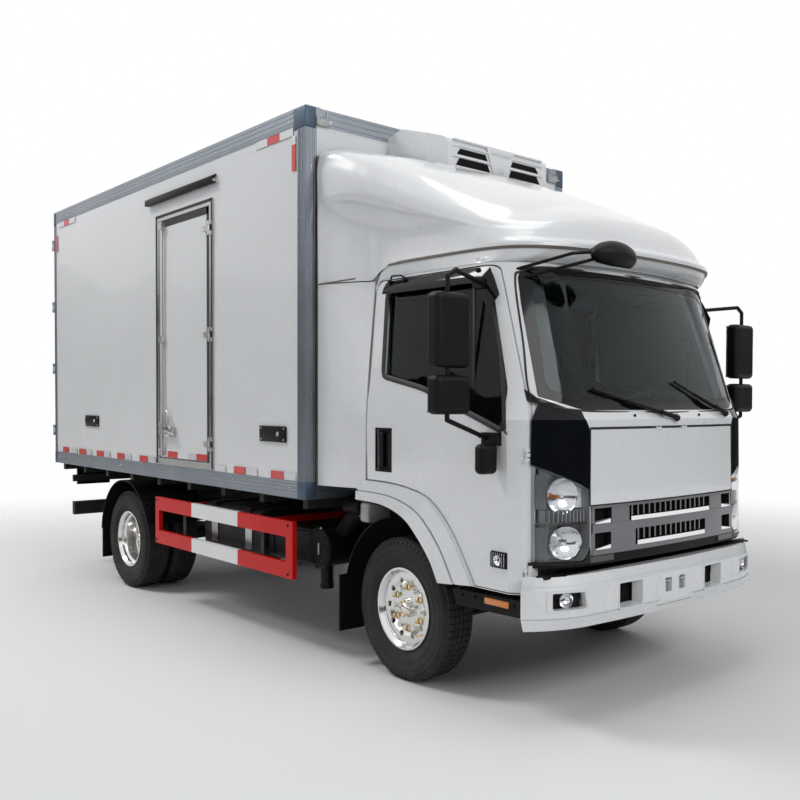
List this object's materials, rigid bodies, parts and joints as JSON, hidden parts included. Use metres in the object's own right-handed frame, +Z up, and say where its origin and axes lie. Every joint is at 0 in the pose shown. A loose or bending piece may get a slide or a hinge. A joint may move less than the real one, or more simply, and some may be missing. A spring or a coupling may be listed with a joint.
{
  "type": "refrigerated box truck",
  "caption": "Light refrigerated truck with a tilting cab, insulated box body, cooling unit, side and rear doors, steering and twin rear wheels.",
  "frame": {"origin": "on the ground below the middle of the truck's length and width", "axes": "+X forward, +Y to the truck's left, +Z up"},
  "size_m": [5.93, 2.61, 3.142],
  "materials": {
    "white_paint": "gloss",
    "white_panel": "gloss",
    "box_floor_panel": "textured",
    "aluminium_trim": "ribbed satin",
    "steel_trim": "brushed",
    "chassis_paint": "satin",
    "cast_iron": "rough",
    "exhaust_steel": "dull",
    "black_plastic": "grained",
    "gloss_black": "high gloss",
    "red_guard": "satin",
    "lamp_lens": "clear lens",
    "red_lens": "clear lens",
    "dark_chrome": "dark chrome",
    "tinted_glass": "clear",
    "cabin_plastic": "grained",
    "seat_cloth": "woven",
    "tyre": "matt",
    "polished_rim": "polished"
  },
  "bodies": {
    "root": {"frame_rails": "chassis_paint", "front_axle": "chassis_paint", "leaf_springs": "chassis_paint", "rear_axle": "chassis_paint", "engine_block": "cast_iron", "driveline": "cast_iron", "exhaust": "exhaust_steel", "fuel_tank": "black_plastic", "air_cleaner": "black_plastic", "battery_box": "black_plastic", "side_guards": "red_guard", "mudguards": "black_plastic", "cab_steps": "black_plastic", "front_bumper": "white_paint", "rear_bumper": "chassis_paint", "tail_lamps": "red_lens", "clear_lamps": "lamp_lens", "box_floor": "box_floor_panel", "box_roof": "white_panel", "box_wall_left": "white_panel", "box_wall_right": "white_panel", "box_wall_front": "white_panel", "box_frame": "aluminium_trim", "side_door_frame": "steel_trim", "reefer_unit": "white_panel"},
    "cab": {"cab_shell": "white_paint", "cab_glass": "tinted_glass", "corner_panels": "gloss_black", "headlamps": "lamp_lens", "grille": "dark_chrome", "wheel_arches": "white_paint", "roof_fairing": "white_panel", "dashboard": "cabin_plastic", "seats": "seat_cloth", "front_mirror": "black_plastic", "wipers": "black_plastic"},
    "front_lid": {"front_panel": "white_paint"},
    "hand_wheel": {"steering_wheel": "cabin_plastic"},
    "cab_door_right": {"cab_door_right": "white_paint", "door_glass_right": "tinted_glass", "mirror_right": "black_plastic"},
    "cab_door_left": {"cab_door_left": "white_paint", "door_glass_left": "tinted_glass", "mirror_left": "black_plastic"},
    "side_leaf": {"side_door": "white_panel"},
    "rear_leaf_left": {"rear_door_left": "white_panel"},
    "rear_leaf_right": {"rear_door_right": "white_panel"},
    "knuckle_left": {"knuckle_left": "chassis_paint"},
    "knuckle_right": {"knuckle_right": "chassis_paint"},
    "track_rod": {"tie_rod": "chassis_paint"},
    "front_wheel_left": {"front_rim_left": "polished_rim", "front_tyre_left": "tyre"},
    "front_wheel_right": {"front_rim_right": "polished_rim", "front_tyre_right": "tyre"},
    "rear_wheels_left": {"rear_rims_left": "polished_rim", "rear_tyres_left": "tyre"},
    "rear_wheels_right": {"rear_rims_right": "polished_rim", "rear_tyres_right": "tyre"}
  },
  "joints": [
    {"name": "cab_tilt", "type": "hinge", "parent": "root", "child": "cab", "pos_m": [2.89, 0, 0.745], "axis": [0, 1, 0], "range_deg": [0, 45]},
    {"name": "front_lid_hinge", "type": "hinge", "parent": "cab", "child": "front_lid", "pos_m": [2.933, 0, 1.356], "axis": [0, -1, 0], "range_deg": [0, 60]},
    {"name": "steering_wheel_turn", "type": "hinge", "parent": "cab", "child": "hand_wheel", "pos_m": [2.33, 0.42, 1.43], "axis": [-0.5299, 0, 0.848], "range_deg": [-540, 540]},
    {"name": "cab_door_right_hinge", "type": "hinge", "parent": "cab", "child": "cab_door_right", "pos_m": [2.767, -0.886, 1.3], "axis": [0, 0, 1], "range_deg": [0, 68]},
    {"name": "cab_door_left_hinge", "type": "hinge", "parent": "cab", "child": "cab_door_left", "pos_m": [2.767, 0.886, 1.3], "axis": [0, 0, -1], "range_deg": [0, 68]},
    {"name": "side_door_hinge", "type": "hinge", "parent": "root", "child": "side_leaf", "pos_m": [0.084, -1.092, 1.9], "axis": [0, 0, 1], "range_deg": [0, 165]},
    {"name": "rear_door_left_hinge", "type": "hinge", "parent": "root", "child": "rear_leaf_left", "pos_m": [-2.919, 1.08, 2], "axis": [0, 0, -1], "range_deg": [0, 250]},
    {"name": "rear_door_right_hinge", "type": "hinge", "parent": "root", "child": "rear_leaf_right", "pos_m": [-2.919, -1.08, 2], "axis": [0, 0, 1], "range_deg": [0, 250]},
    {"name": "steer_right", "type": "hinge", "parent": "root", "child": "knuckle_right", "pos_m": [1.85, -0.66, 0.38], "axis": [0, 0, 1], "range_deg": [-35, 35]},
    {"name": "steer_left", "type": "hinge", "parent": "root", "child": "knuckle_left", "pos_m": [1.85, 0.66, 0.38], "axis": [0, 0, 1], "range_deg": [-35, 35]},
    {"name": "track_rod_pivot", "type": "hinge", "parent": "knuckle_right", "child": "track_rod", "pos_m": [1.68, -0.66, 0.318], "axis": [0, 0, 1], "range_deg": [-35, 35]},
    {"name": "front_wheel_left_spin", "type": "hinge", "parent": "knuckle_left", "child": "front_wheel_left", "pos_m": [1.85, 0.792, 0.38], "axis": [0, 1, 0], "continuous": true},
    {"name": "front_wheel_right_spin", "type": "hinge", "parent": "knuckle_right", "child": "front_wheel_right", "pos_m": [1.85, -0.792, 0.38], "axis": [0, 1, 0], "continuous": true},
    {"name": "rear_wheels_left_spin", "type": "hinge", "parent": "root", "child": "rear_wheels_left", "pos_m": [-1.51, 0.782, 0.38], "axis": [0, 1, 0], "continuous": true},
    {"name": "rear_wheels_right_spin", "type": "hinge", "parent": "root", "child": "rear_wheels_right", "pos_m": [-1.51, -0.782, 0.38], "axis": [0, 1, 0], "continuous": true}
  ],
  "couplings": [
    {"joint": "steer_left", "follows": "steer_right", "ratio": 1},
    {"joint": "track_rod_pivot", "follows": "steer_right", "ratio": -1},
    {"joint": "steering_wheel_turn", "follows": "steer_right", "ratio": 15}
  ]
}
